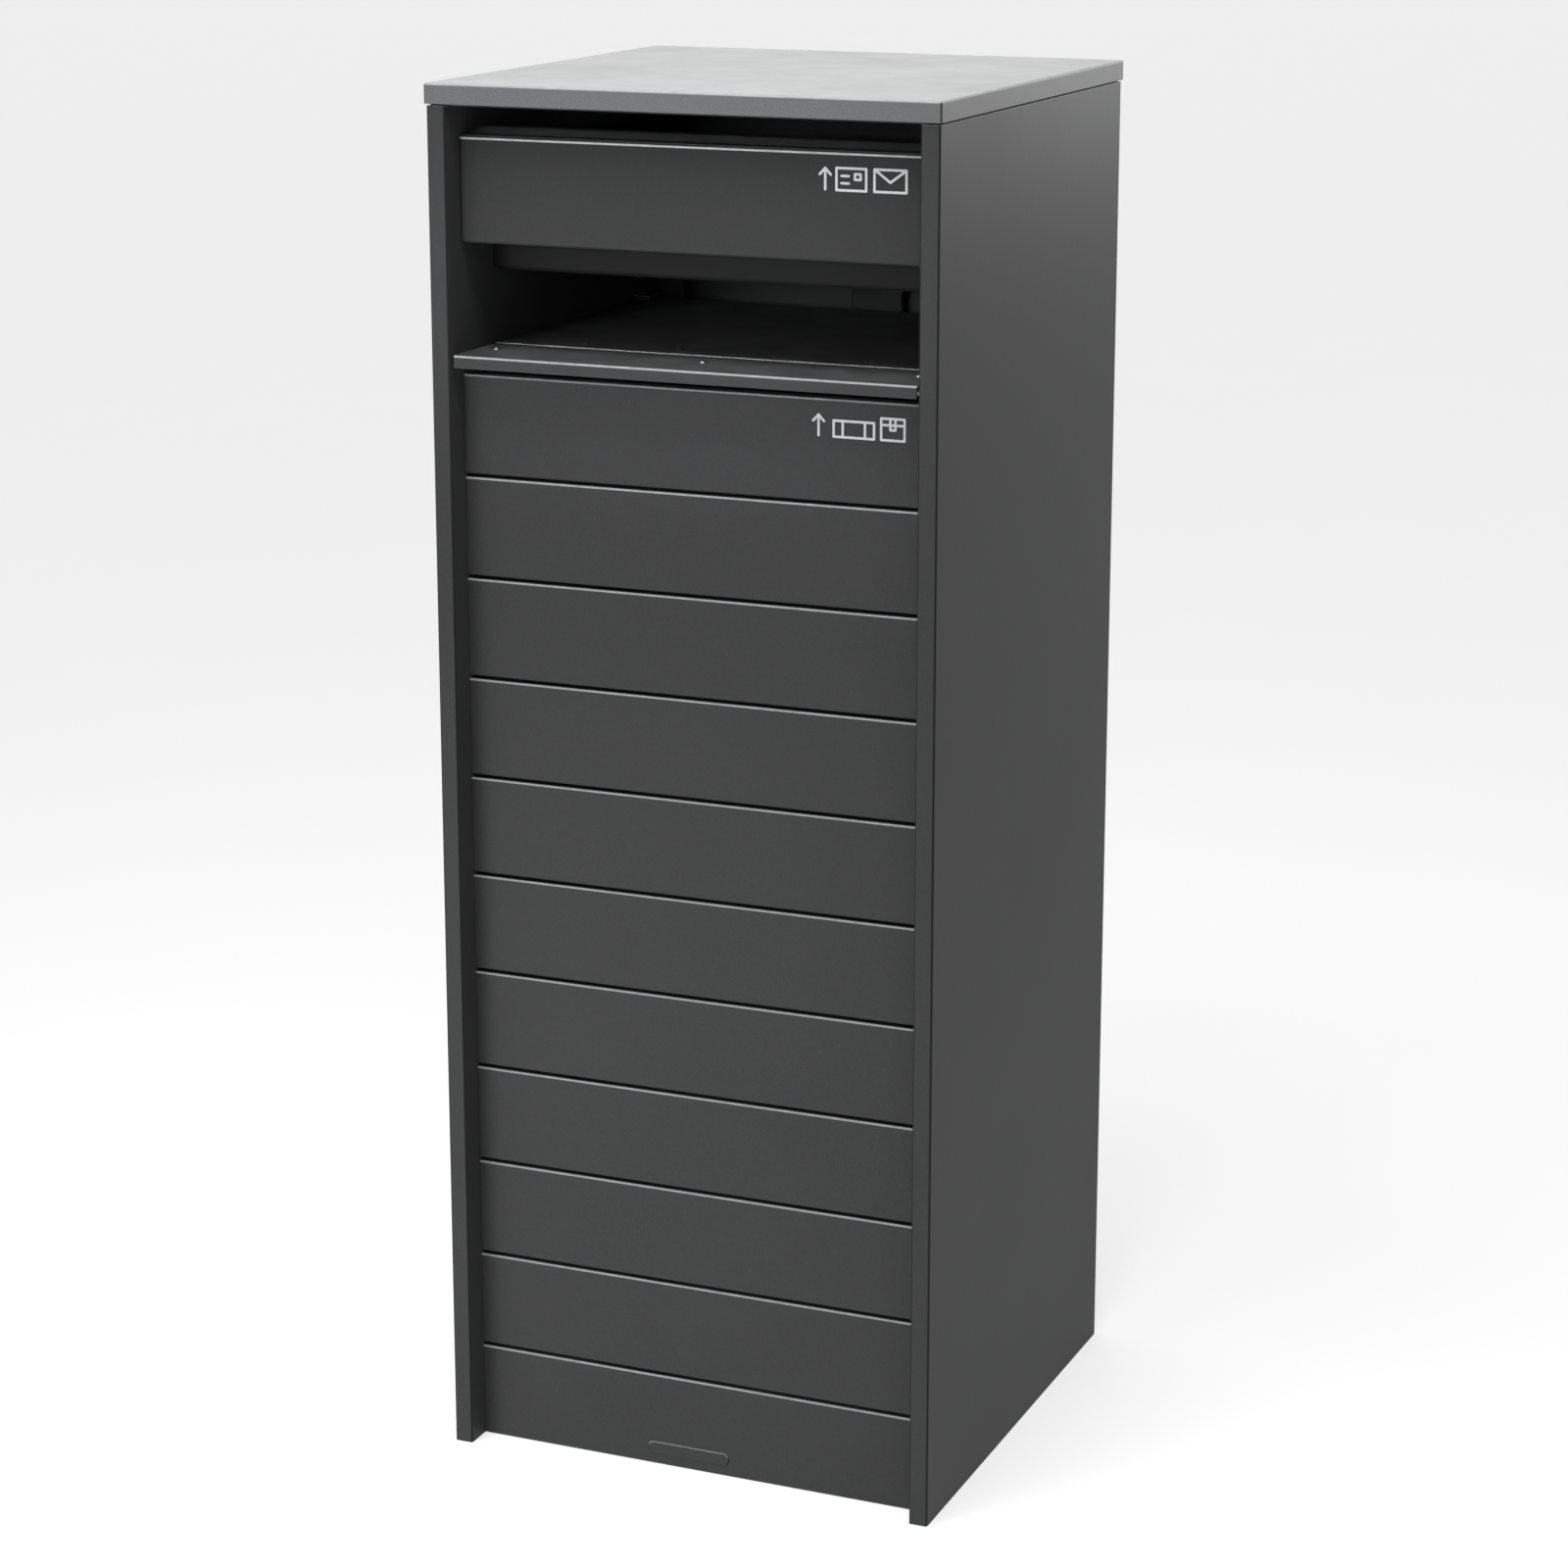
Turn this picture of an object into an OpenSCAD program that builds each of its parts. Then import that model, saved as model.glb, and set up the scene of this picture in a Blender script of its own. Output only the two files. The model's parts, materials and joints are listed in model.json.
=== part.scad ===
// Freestanding parcel drop box.
// A letter slot opens under the cap and a parcel opening sits below it. Letters slide over a
// rolled chute into a tray. Parcels go onto a sprung drop flap that tips them into the chamber
// behind the slatted front. Both are emptied through a locked door in the back.
// Frame: origin under the middle of the box at ground level, +X to the right seen from the
// front, +Y to the back, +Z up. Millimetres.

/* [Overall] */
// Width across the outside of the side walls
width = 450; // [360:5:560]
// Depth from the front edges of the side walls to their rear edges
depth = 450; // [360:5:560]
// Height from the ground to the top of the cap
height = 1200; // [960:10:1500]
// Thickness of the sheet steel
sheet = 1.5; // [1.2:0.1:2]
// Inside radius of the bends
bend_in = 0.5; // [0.3:0.1:1]

/* [Cap] */
// Height of the cap's turned-down lip
cap_lip = 17; // [14:1:30]
// How far the cap stands out beyond the side walls
cap_overhang = 1.5; // [1:0.5:6]
// Shadow gap between the cap's lip and the side walls
cap_shadow = 1.5; // [0.5:0.5:4]
// How far the top frame sits inside the side walls' faces
frame_inset = 3; // [2:0.5:5]
// Width of the top frame's flanges
frame_flange = 22; // [20:1:30]
// Length of the cap's weld studs
cap_stud_len = 12; // [10:1:16]

/* [Side walls] */
// Thickness of the double-skinned side walls
wall_t = 16.7; // [14:0.1:30]

/* [Slatted front] */
// How far the front is set back from the side walls' front edges
recess = 24.6; // [15:0.1:40]
// Number of slats
slat_count = 11; // [6:1:14]
// Open gap between two slats
slat_gap = 3; // [2:0.5:6]
// Depth of a slat's top and bottom flanges
slat_depth = 15; // [10:1:25]
// Distance from each end of a slat to its weld stud
stud_inset = 38; // [30:1:60]
// Radius of the weld studs
stud_r = 2; // [1.5:0.5:3]
// Depth of the turned edges of the panel behind the slats
liner_flange = 25; // [15:1:40]
// Depth of the letters panel's turned edges
letters_depth = 20; // [12:1:24]

/* [Openings] */
// Height of the letter slot under the cap's lip
slot_h = 28.5; // [20:0.5:40]
// Height of the letters panel
letters_h = 87; // [70:1:120]
// Height of the parcel opening above the ledge
mouth_h = 91.5; // [70:0.5:140]

/* [Letter chute and tray] */
// Rise of the chute's crest above the letters panel
crest_rise = 6; // [3:0.5:10]
// Depth from the side walls' front edges to the start of the chute's ramp
ramp_start = 45; // [42:1:50]
// Length of the ramp up to the crest
ramp_len = 15; // [10:1:20]
// Length of the flat crest
crest_len = 14; // [8:1:30]
// Radius of the roll behind the crest
roll_r = 12; // [8:1:20]
// Distance from the lower end of the roll down to the tray's top edge
tray_rim_drop = 8; // [4:1:20]
// Distance from the bottom of the letters panel down to the bottom of the tray
tray_drop = 29.5; // [15:0.5:35]
// Height of the tray's side walls
tray_side = 60; // [40:1:80]
// Height of the tray's rear lip
tray_lip = 22; // [12:1:40]
// Length of the joint between the chute's skirt and the tray's front wall
skirt_lap = 20; // [12:1:30]
// Outer radius of the tray's lower edges
tray_r = 5; // [3:1:10]
// Space between the tray's rear lip and the rear edges of the side walls
tray_back_space = 50; // [45:1:70]

/* [Parcel ledge] */
// Height of the ledge's front lip
ledge_lip = 10.5; // [8:0.5:20]
// Distance from the side walls' front edges to the ledge's lip
ledge_front = 3; // [0:0.5:10]
// Distance from the side walls' front edges to the ledge's rear edge
ledge_rear = 75.5; // [70:0.5:90]
// Gap at each end of the ledge
ledge_side_gap = 2.3; // [0.5:0.1:5]
// Shadow gap under the ledge's lip
ledge_shadow = 8; // [4:0.5:10]
// Distance from each end of the ledge to its outer screws
ledge_screw_inset = 16; // [14:1:40]
// Distance from the side walls' front edges to the ledge's screws
ledge_screw_setback = 49.7; // [48:0.1:52]

/* [Drop flap] */
// Gap between the flap and each side wall
flap_side_gap = 3; // [2:0.5:6]
// Gap between the ledge and the flap's front edge
flap_front_gap = 2; // [1.5:0.5:5]
// How far the flap's top stands above the ledge's
flap_rise = 1; // [0.5:0.5:2]
// Height of the flap's turned-down edges
flap_flange = 15; // [10:1:20]
// Distance from the flap's rear edge to the rear edges of the side walls
flap_back_space = 65; // [60:1:90]
// Distance from the flap's front edge to its hinge's axis
flap_hinge_set = 4.5; // [4:0.5:8]
// Distance from the hinge's axis to the far end of the lower stops
lower_stop_reach = 150; // [100:5:180]
// Angle that the flap swings down to its lower stops
flap_swing = 75; // [60:1:80]
// Radius of the flap's hinge pin
flap_pin_r = 3; // [2.5:0.5:4]
// Thickness of the flap's hinge leaves, which its spring wire lies between
leaf_t = 2; // [1.6:0.1:2.4]
// Running clearance between a hinge pin and its knuckles
pin_fit = 0.05; // [0.02:0.01:0.1]

/* [Rear door] */
// How far the door's face is set in from the rear edges of the side walls
door_inset = 5; // [4.5:0.5:10]
// Depth of the door pan and of the rails above and below it
door_depth = 20; // [16:1:28]
// Gap between the door and the parts around it
door_gap = 1.5; // [1:0.5:3]
// Height of the rail under the door
bottom_rail_h = 38; // [30:1:80]
// Height of the rail over the door
top_rail_h = 30; // [24:1:60]
// Length of each door hinge
door_hinge_len = 60; // [45:5:90]
// Radius of the door's hinge pins
door_pin_r = 2.5; // [2:0.5:3]
// Thickness of the rubber door seal
seal_t = 2; // [1.5:0.5:3]
// Width of the flat bar that the door closes on
stop_w = 25; // [20:1:30]
// Thickness of the flat bar that the door closes on
stop_t = 3; // [2:0.5:5]
// Width of the stiffener on the door's inside
stiffener_w = 50; // [30:5:80]

/* [Cam lock] */
// Distance from the lock's axis to the side wall beside it
lock_inset = 43.3; // [38:0.1:60]
// Radius of the lock's threaded barrel
lock_r = 9; // [8:0.5:11]
// Radius of the turning plug
plug_r = 6; // [5:0.5:7]
// Thickness of the lock's flange on the door's face
bezel_t = 3; // [2:0.5:4]
// Length of the cam from the lock's axis to its tip
cam_len = 38; // [34:1:40]
// Thickness of the cam
cam_t = 3; // [2:0.5:4]
// Gap between the cam and the door stop
cam_gap = 1; // [0.5:0.5:2]

/* [Base] */
// Thickness of the base plate
base_t = 2; // [2:0.5:4]
// Height of the base plate's front and rear edges
base_flange = 25; // [15:1:30]
// Distance between the anchor holes, across and along the box
anchor_pitch = 300; // [200:10:330]
// Radius of the anchor holes
anchor_r = 5.5; // [4:0.5:7]

/* [Hidden] */
$fn = 48;
eps = 0.01;
charcoal = [0.22, 0.225, 0.23];
dark_steel = [0.16, 0.165, 0.17];
zinc = [0.62, 0.63, 0.64];
black_rubber = [0.06, 0.06, 0.06];

bend_r = sheet + bend_in;
front = -depth / 2;
back = depth / 2;
wall_in = width / 2 - wall_t;
inner_w = 2 * wall_in;
move_gap = 0.3;
// How far a cutting shape runs past the face that it cuts
cut = 1;

cap_bottom = height - cap_lip;
panel_top = cap_bottom - cap_shadow;
letters_top = cap_bottom - slot_h;
letters_bottom = letters_top - letters_h;
ledge_top = letters_bottom - mouth_h;
clad_top = ledge_top - ledge_lip - ledge_shadow;
slat_pitch = (clad_top + slat_gap) / slat_count;
slat_h = slat_pitch - slat_gap;
face_y = front + recess;
liner_y = face_y + slat_depth;
liner_top = clad_top - sheet;
stud_x = wall_in - stud_inset;
stud_end = 2.5;
hole_gap = 0.2;
nut_h = 3.2;
nut_flats = 7;

cap_stud_r = 2.5;
cap_stud_x = width / 2 - frame_inset - frame_flange / 2;
cap_stud_pitch = depth / 3;
cap_nut_h = 4;
cap_nut_flats = 8;

skirt_y = front + ramp_start + ramp_len + crest_len + roll_r - sheet;
tray_y = skirt_y - sheet;
tray_z = letters_bottom - tray_drop;
tray_back = back - tray_back_space;
tray_len = tray_back - tray_y;
crest_z = letters_top + crest_rise;
tray_top = crest_z - roll_r - tray_rim_drop;
tray_screw_z = tray_z + tray_side * 2 / 3;
tray_screw_ys = [for (part = [0.2, 0.55, 0.9]) tray_y + part * tray_len];
tray_screw_r = 2;
tray_screw_len = 8;

plate_under = ledge_top - sheet;
flap_top = ledge_top + flap_rise;
flap_under = flap_top - sheet;
flap_w = inner_w - 2 * flap_side_gap;
flap_y = front + ledge_rear + flap_front_gap;
flap_back = back - flap_back_space;
knuckle_r = flap_pin_r + pin_fit + leaf_t;
leaf_step = 0.5;
hinge_y = flap_y + flap_hinge_set;
hinge_z = flap_under - leaf_step - knuckle_r;
leaf_under = hinge_z - knuckle_r - leaf_step;
leaf_top = leaf_under + leaf_t;
// The hinge is divided into nine equal parts along its pin
fixed_parts = [0, 4, 8];
moving_parts = [1, 3, 5, 7];
spring_parts = [2, 6];
hinge_end = 10;
hinge_len = flap_w - 2 * hinge_end;
hinge_step = hinge_len / 9;
knuckle_gap = 0.5;
wire_gap = 0.1;
wire_r = leaf_t / 2 - wire_gap;
coil_r = knuckle_r + leaf_step - leaf_t / 2 - wire_gap / 2;
spring_leg = 24;
ledge_screw_r = 2;
ledge_screw_y = front + ledge_screw_setback;
ledge_screw_xs = [for (side = [-1, 0, 1]) side * (wall_in - ledge_side_gap - ledge_screw_inset)];
rail_y = ledge_screw_y - ledge_screw_r - sheet - 2.2;
rail_back = hinge_y - knuckle_r - leaf_step - 7;
flap_leaf_d = 25;
flap_rivet_y = hinge_y + 18;
pad_t = 2.5;
stop_len = 25;
stop_reach = 16;

door_face = back - door_inset;
door_bottom = bottom_rail_h + door_gap;
door_top = panel_top - top_rail_h - door_gap;
door_h = door_top - door_bottom;
door_knuckle_r = door_pin_r + pin_fit + sheet;
door_pin_inset = 1;
door_axis = [-wall_in + door_knuckle_r, door_face - door_pin_inset];
door_left = door_axis.x + door_knuckle_r;
door_right = wall_in - door_gap;
door_w = door_right - door_left;
door_mid = (door_left + door_right) / 2;
door_mid_z = (door_bottom + door_top) / 2;
door_hinge_zs = [for (part = [0.1, 0.5, 0.9]) door_bottom + part * door_h];
door_leaf_len = 24;
hinge_rivet_r = 1.6;
hinge_rivet_y = door_axis.y - 14;
hinge_rivet_dz = door_hinge_len / 3;
stop_y = door_face - door_depth - move_gap - seal_t - stop_t;
stiffener_d = 14;
stiffener_end = 40;

lock_x = wall_in - lock_inset;
lock_z = door_mid_z;
bezel_lip = 3;
cam_y = stop_y - cam_gap - cam_t;
barrel_end = cam_y + cam_t + 1.5;
tail = 6;
cam_screw_r = 1.5;
cam_screw_len = 7;
washer_t = 1;

function slat_name(i) = str("slat_", i < 10 ? "0" : "", i);

// ---- Outlines and folded sheets ----

// Rectangle with all four corners rounded, its near corner at the origin
module round_rect_2d(w, d, r) {
    translate([0, r]) square([w, d - 2 * r]);
    translate([r, 0]) square([w - 2 * r, d]);
    for (x = [r, w - r], y = [r, d - r]) translate([x, y]) circle(r);
}

// Rectangle centred on X whose two corners at y = 0 are rounded
module soft_box_2d(w, d, r) {
    translate([-w / 2, r]) square([w, d - r]);
    translate([-w / 2 + r, 0]) square([w - 2 * r, d]);
    for (side = [-1, 1]) translate([side * (w / 2 - r), r]) circle(r);
}

// Folded channel: a web along X at y = 0 and two legs along +Y
module channel_2d(w, d, r = bend_r, t = sheet) {
    difference() {
        soft_box_2d(w, d, r);
        translate([0, t]) soft_box_2d(w - 2 * t, d, r - t);
    }
}

// Folded angle: one leg along +X and one along +Y from a bend at the origin
module angle_2d(a, b, r = bend_r, t = sheet) {
    translate([r, 0]) square([a - r, t]);
    translate([0, r]) square([t, b - r]);
    intersection() {
        translate([r, r]) difference() {
            circle(r);
            circle(r - t);
        }
        square(r);
    }
}

// Extrudes an outline drawn in (Y, Z) along X, centred
module along_x(len) {
    rotate([90, 0, 90]) linear_extrude(len, center = true) children();
}

// Block with its face at z = 0 and rounded edges round that face
module soft_block(w, h, d, r) {
    intersection() {
        rotate([90, 0, 0]) linear_extrude(h, center = true) soft_box_2d(w, d, r);
        along_x(w) soft_box_2d(h, d, r);
    }
}

// Folded pan: a face w by h at z = 0 and four edges d deep
module pan(w, h, d, r = bend_r, t = sheet) {
    difference() {
        soft_block(w, h, d, r);
        translate([0, 0, t]) soft_block(w - 2 * t, h - 2 * t, d, r - t);
    }
}

module facing_front() { rotate([-90, 0, 0]) children(); }
module facing_back() { rotate([90, 0, 0]) children(); }
module facing_up() { rotate([180, 0, 0]) children(); }
module on_both_sides() { for (side = [0, 1]) mirror([side, 0, 0]) children(); }

// ---- Fasteners, drawn along Z with the head above z = 0 ----

module dome(r, h) {
    ball_r = (r * r + h * h) / (2 * h);
    intersection() {
        translate([0, 0, h - ball_r]) sphere(ball_r);
        cylinder(r = r, h = h);
    }
}

module button_screw(r, length) {
    head_h = 1.1 * r;
    difference() {
        dome(1.9 * r, head_h);
        translate([0, 0, head_h / 2]) cylinder(r = 0.7 * r, h = head_h, $fn = 6);
    }
    translate([0, 0, -length]) cylinder(r = r, h = length + eps);
}

module rivet(r, grip) {
    dome(1.9 * r, 0.7 * r);
    translate([0, 0, -grip - eps]) cylinder(r = r, h = grip + 2 * eps);
    translate([0, 0, -grip]) mirror([0, 0, 1]) dome(1.4 * r, 0.9 * r);
}

module hex_nut(bore_r, flats, h) {
    difference() {
        cylinder(d = flats / cos(30), h = h, $fn = 6);
        translate([0, 0, -1]) cylinder(r = bore_r, h = h + 2);
    }
}

module at_cap_studs() {
    for (side = [-1, 1], row = [-1:1]) translate([side * cap_stud_x, row * cap_stud_pitch]) children();
}

// ---- Cap and top frame ----

module top_cap() {
    w = width + 2 * cap_overhang;
    d = depth + 2 * cap_overhang;
    color(charcoal) {
        intersection() {
            translate([0, 0, height]) facing_up() pan(w, d, cap_lip);
            translate([-w / 2, -d / 2, cap_bottom - cut]) linear_extrude(cap_lip + 2 * cut)
                round_rect_2d(w, d, bend_r);
        }
        at_cap_studs() translate([0, 0, height - sheet - cap_stud_len])
            cylinder(r = cap_stud_r, h = cap_stud_len + eps);
    }
}

module cap_nuts() {
    color(zinc) at_cap_studs() translate([0, 0, height - 2 * sheet - cap_nut_h])
        hex_nut(cap_stud_r, cap_nut_flats, cap_nut_h);
}

module top_frame() {
    w = width - 2 * frame_inset;
    d = depth - 2 * frame_inset;
    h = height - sheet - panel_top;
    open_w = w - 2 * frame_flange;
    open_d = d - 2 * frame_flange;
    color(dark_steel) translate([0, 0, panel_top]) difference() {
        translate([-w / 2, -d / 2, 0]) cube([w, d, h]);
        translate([-w / 2 + sheet, -d / 2 + sheet, sheet])
            cube([w - 2 * sheet, d - 2 * sheet, h - 2 * sheet]);
        translate([-open_w / 2, -open_d / 2, -cut]) cube([open_w, open_d, h + 2 * cut]);
        at_cap_studs() translate([0, 0, h - sheet - cut])
            cylinder(r = cap_stud_r + hole_gap, h = sheet + 2 * cut);
    }
}

// ---- Side walls and base ----

// Right-hand wall: one sheet folded round all four edges, with its seam inside at the back
module side_wall() {
    seam = 0.6;
    linear_extrude(panel_top) translate([wall_in, front]) difference() {
        round_rect_2d(wall_t, depth, bend_r);
        translate([sheet, sheet]) round_rect_2d(wall_t - 2 * sheet, depth - 2 * sheet, bend_in);
        translate([-cut, depth - bend_r - seam]) square([sheet + cut + eps, seam]);
    }
}

module tray_screw_holes() {
    for (y = tray_screw_ys) translate([wall_in - sheet - cut, y, tray_screw_z]) rotate([0, 90, 0])
        cylinder(r = tray_screw_r + hole_gap, h = 2 * sheet + 2 * cut);
}

// Holes through sheet at the door hinges' rivets, from x to x + length
module hinge_rivet_holes(x, length) {
    for (z = door_hinge_zs, dz = [-1, 1]) translate([x, hinge_rivet_y, z + dz * hinge_rivet_dz])
        rotate([0, 90, 0]) cylinder(r = hinge_rivet_r, h = length);
}

module side_panel_left() {
    color(charcoal) difference() {
        mirror([1, 0, 0]) side_wall();
        mirror([1, 0, 0]) tray_screw_holes();
        hinge_rivet_holes(-wall_in - sheet - cut, sheet + 2 * cut);
    }
}

module side_panel_right() {
    color(charcoal) difference() {
        side_wall();
        tray_screw_holes();
    }
}

module base_plate() {
    base_len = door_face - door_depth - liner_y;
    color(dark_steel) difference() {
        translate([0, liner_y + base_len / 2, 0]) along_x(inner_w)
            channel_2d(base_len, base_flange, base_t + bend_in, base_t);
        for (x = [-1, 1], y = [-1, 1]) translate([x * anchor_pitch / 2, y * anchor_pitch / 2, -cut])
            cylinder(r = anchor_r, h = base_t + 2 * cut);
    }
}

// ---- Slatted front ----

module at_slat_studs(i) {
    for (side = [-1, 1]) translate([side * stud_x, 0, clad_top - (i - 0.5) * slat_pitch + slat_gap / 2])
        rotate([-90, 0, 0]) children();
}

module front_liner() {
    color(dark_steel) difference() {
        translate([0, liner_y, base_flange]) linear_extrude(liner_top - base_flange)
            channel_2d(inner_w, liner_flange);
        for (i = [1:slat_count]) at_slat_studs(i) translate([0, 0, liner_y - cut])
            cylinder(r = stud_r + hole_gap, h = sheet + 2 * cut);
    }
}

// Slat i, counted from the top, with two weld studs on its back
module slat(i) {
    color(charcoal) {
        translate([0, face_y, clad_top - (i - 1) * slat_pitch - slat_h / 2]) along_x(inner_w)
            rotate(-90) channel_2d(slat_h, slat_depth);
        at_slat_studs(i) translate([0, 0, face_y + sheet - eps])
            cylinder(r = stud_r, h = slat_depth + nut_h + stud_end);
    }
}

module slat_nuts() {
    color(zinc) for (i = [1:slat_count]) at_slat_studs(i) translate([0, 0, liner_y + sheet])
        hex_nut(stud_r, nut_flats, nut_h);
}

// ---- Letter slot, chute and tray ----

module letters_panel() {
    color(charcoal) translate([0, face_y, letters_top - letters_h / 2]) facing_front()
        pan(inner_w, letters_h, letters_depth);
}

// One surface of the sheet from the letters panel up the ramp and onto the crest, in (Y, Z)
function ramp_line(lift) = [
    [recess + bend_r + 1, letters_top + lift],
    [ramp_start, letters_top + lift],
    [ramp_start + ramp_len, crest_z - sheet + lift],
    [ramp_start + ramp_len + crest_len / 2, crest_z - sheet + lift]];

// Section in (Y, Z), with y measured from the side walls' front edges
module chute_2d() {
    upper = ramp_line(sheet);
    roll_end = ramp_start + ramp_len + crest_len + roll_r;
    skirt_bottom = tray_top - skirt_lap;
    polygon(concat(ramp_line(0), [for (k = [3:-1:0]) upper[k]]));
    translate([roll_end, crest_z]) rotate(180)
        angle_2d(crest_len + roll_r, crest_z - skirt_bottom, roll_r);
}

module letter_chute() {
    color(charcoal) translate([0, front, 0]) along_x(inner_w) chute_2d();
}

module letter_tray() {
    tray_h = tray_top - tray_z;
    color(charcoal) difference() {
        translate([0, (tray_y + tray_back) / 2, tray_z]) pan(inner_w, tray_len, tray_h, tray_r);
        translate([-wall_in - cut, skirt_y, tray_z + tray_side])
            cube([inner_w + 2 * cut, tray_len, tray_h]);
        translate([-wall_in - cut, tray_back - 2 * tray_r, tray_z + tray_lip])
            cube([inner_w + 2 * cut, 3 * tray_r, tray_h]);
        on_both_sides() tray_screw_holes();
    }
}

module tray_screws() {
    color(zinc) on_both_sides() for (y = tray_screw_ys)
        translate([wall_in - sheet, y, tray_screw_z]) rotate([0, -90, 0])
            button_screw(tray_screw_r, tray_screw_len);
}

// ---- Parcel ledge ----

module ledge_screw_holes() {
    for (x = ledge_screw_xs) translate([x, ledge_screw_y, leaf_under - cut])
        cylinder(r = ledge_screw_r + hole_gap, h = ledge_top - leaf_under + 2 * cut);
}

module ledge_rail() {
    rail_w = rail_back - rail_y;
    color(dark_steel) difference() {
        translate([0, (rail_y + rail_back) / 2, plate_under]) along_x(inner_w)
            mirror([0, 1]) channel_2d(rail_w, plate_under - leaf_top);
        ledge_screw_holes();
    }
}

module parcel_ledge() {
    ledge_d = ledge_rear - ledge_front;
    rear_lip = 8;
    color(charcoal) difference() {
        translate([0, front + (ledge_front + ledge_rear) / 2, ledge_top])
            along_x(inner_w - 2 * ledge_side_gap) mirror([0, 1]) channel_2d(ledge_d, ledge_lip);
        translate([-wall_in, front + ledge_rear - 2 * bend_r, ledge_top - ledge_lip - cut])
            cube([inner_w, 4 * bend_r, ledge_lip + cut - rear_lip]);
        ledge_screw_holes();
    }
}

module ledge_screws() {
    color(zinc) for (x = ledge_screw_xs) translate([x, ledge_screw_y, ledge_top])
        button_screw(ledge_screw_r, ledge_top - leaf_under + nut_h);
}

module ledge_nuts() {
    color(zinc) for (x = ledge_screw_xs) translate([x, ledge_screw_y, leaf_under - nut_h])
        hex_nut(ledge_screw_r, nut_flats, nut_h);
}

// ---- Drop flap and its hinge ----

// Centre of the hinge's part k, along X
function hinge_x(k) = (k + 0.5) * hinge_step - hinge_len / 2;

module hinge_bar(x, r, len) {
    translate([x, hinge_y, hinge_z]) rotate([0, 90, 0]) cylinder(r = r, h = len, center = true);
}

module flap_hinge_leaf_fixed() {
    knuckle_len = hinge_step - knuckle_gap;
    leaf_back = hinge_y - knuckle_r - leaf_step;
    color(dark_steel) difference() {
        union() {
            translate([-hinge_len / 2, rail_y, leaf_under]) cube([hinge_len, leaf_back - rail_y, leaf_t]);
            for (k = fixed_parts) {
                translate([hinge_x(k) - knuckle_len / 2, leaf_back - eps, leaf_under])
                    cube([knuckle_len, hinge_y - leaf_back, leaf_t]);
                hinge_bar(hinge_x(k), knuckle_r, knuckle_len);
            }
        }
        hinge_bar(0, flap_pin_r, hinge_len + 2 * cut);
        for (k = spring_parts)
            translate([hinge_x(k) - hinge_step / 2, hinge_y - spring_leg - cut, leaf_under - cut])
                cube([2 * leaf_t, spring_leg, leaf_t + 2 * cut]);
        ledge_screw_holes();
    }
}

module flap_hinge_leaf_moving() {
    knuckle_len = hinge_step - knuckle_gap;
    leaf_start = hinge_y + knuckle_r + leaf_step;
    leaf_z = flap_under - leaf_t;
    color(dark_steel) difference() {
        union() {
            translate([-hinge_len / 2, leaf_start, leaf_z]) cube([hinge_len, flap_leaf_d, leaf_t]);
            for (k = moving_parts) {
                translate([hinge_x(k) - knuckle_len / 2, hinge_y, leaf_z])
                    cube([knuckle_len, leaf_start - hinge_y + eps, leaf_t]);
                hinge_bar(hinge_x(k), knuckle_r, knuckle_len);
            }
        }
        hinge_bar(0, flap_pin_r + pin_fit, hinge_len + 2 * cut);
        for (k = spring_parts)
            translate([hinge_x(k) + hinge_step / 2 - 2 * leaf_t, leaf_start - cut, leaf_z - cut])
                cube([2 * leaf_t, spring_leg, leaf_t + 2 * cut]);
        for (k = moving_parts) translate([hinge_x(k), flap_rivet_y, leaf_z - cut])
            cylinder(r = hinge_rivet_r, h = leaf_t + 2 * cut);
    }
}

module flap_hinge_pin() {
    color(zinc) hinge_bar(0, flap_pin_r, hinge_len);
}

// Torsion springs: a close-wound coil with one leg under the rail and one under the flap
module flap_springs() {
    end_gap = 1.5;
    turns = floor((hinge_step - 2 * end_gap) / (2 * wire_r));
    coil_len = turns * 2 * wire_r;
    color(zinc) for (k = spring_parts) translate([hinge_x(k) - coil_len / 2, hinge_y, hinge_z]) {
        rotate([0, 90, 0]) rotate_extrude() for (turn = [0:turns - 1])
            translate([coil_r, (2 * turn + 1) * wire_r]) circle(r = wire_r * 1.04);
        translate([wire_r, 0, -coil_r]) rotate([90, 0, 0]) cylinder(r = wire_r, h = spring_leg - 1);
        translate([coil_len - wire_r, 0, coil_r]) rotate([-90, 0, 0]) cylinder(r = wire_r, h = spring_leg);
    }
}

module drop_flap() {
    // The pan is drawn longer at the front and trimmed there, so that its front edge is plain
    trim = 10;
    side_start = 18;
    pan_len = flap_back - flap_y + trim;
    color(charcoal) difference() {
        translate([0, flap_back - pan_len / 2, flap_top]) facing_up() pan(flap_w, pan_len, flap_flange);
        translate([-flap_w, flap_y - 2 * trim, flap_top - flap_flange - cut])
            cube([2 * flap_w, 2 * trim, flap_flange + 2 * cut]);
        translate([-flap_w, flap_y - cut, flap_top - flap_flange - cut])
            cube([2 * flap_w, side_start + cut, flap_flange + cut - sheet]);
        for (k = moving_parts) translate([hinge_x(k), flap_rivet_y, flap_under - cut])
            cylinder(r = hinge_rivet_r, h = sheet + 2 * cut);
    }
}

module flap_rivets() {
    color(zinc) for (k = moving_parts) translate([hinge_x(k), flap_rivet_y, flap_top])
        rivet(hinge_rivet_r, sheet + leaf_t);
}

// Angles that hold the flap level from above, at its rear corners
module flap_stops() {
    leg_z = flap_top + move_gap + pad_t;
    color(dark_steel) on_both_sides() translate([wall_in, flap_back, leg_z]) rotate([90, 0, 0])
        linear_extrude(stop_len) mirror([1, 0]) angle_2d(stop_reach, stop_reach);
}

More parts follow.
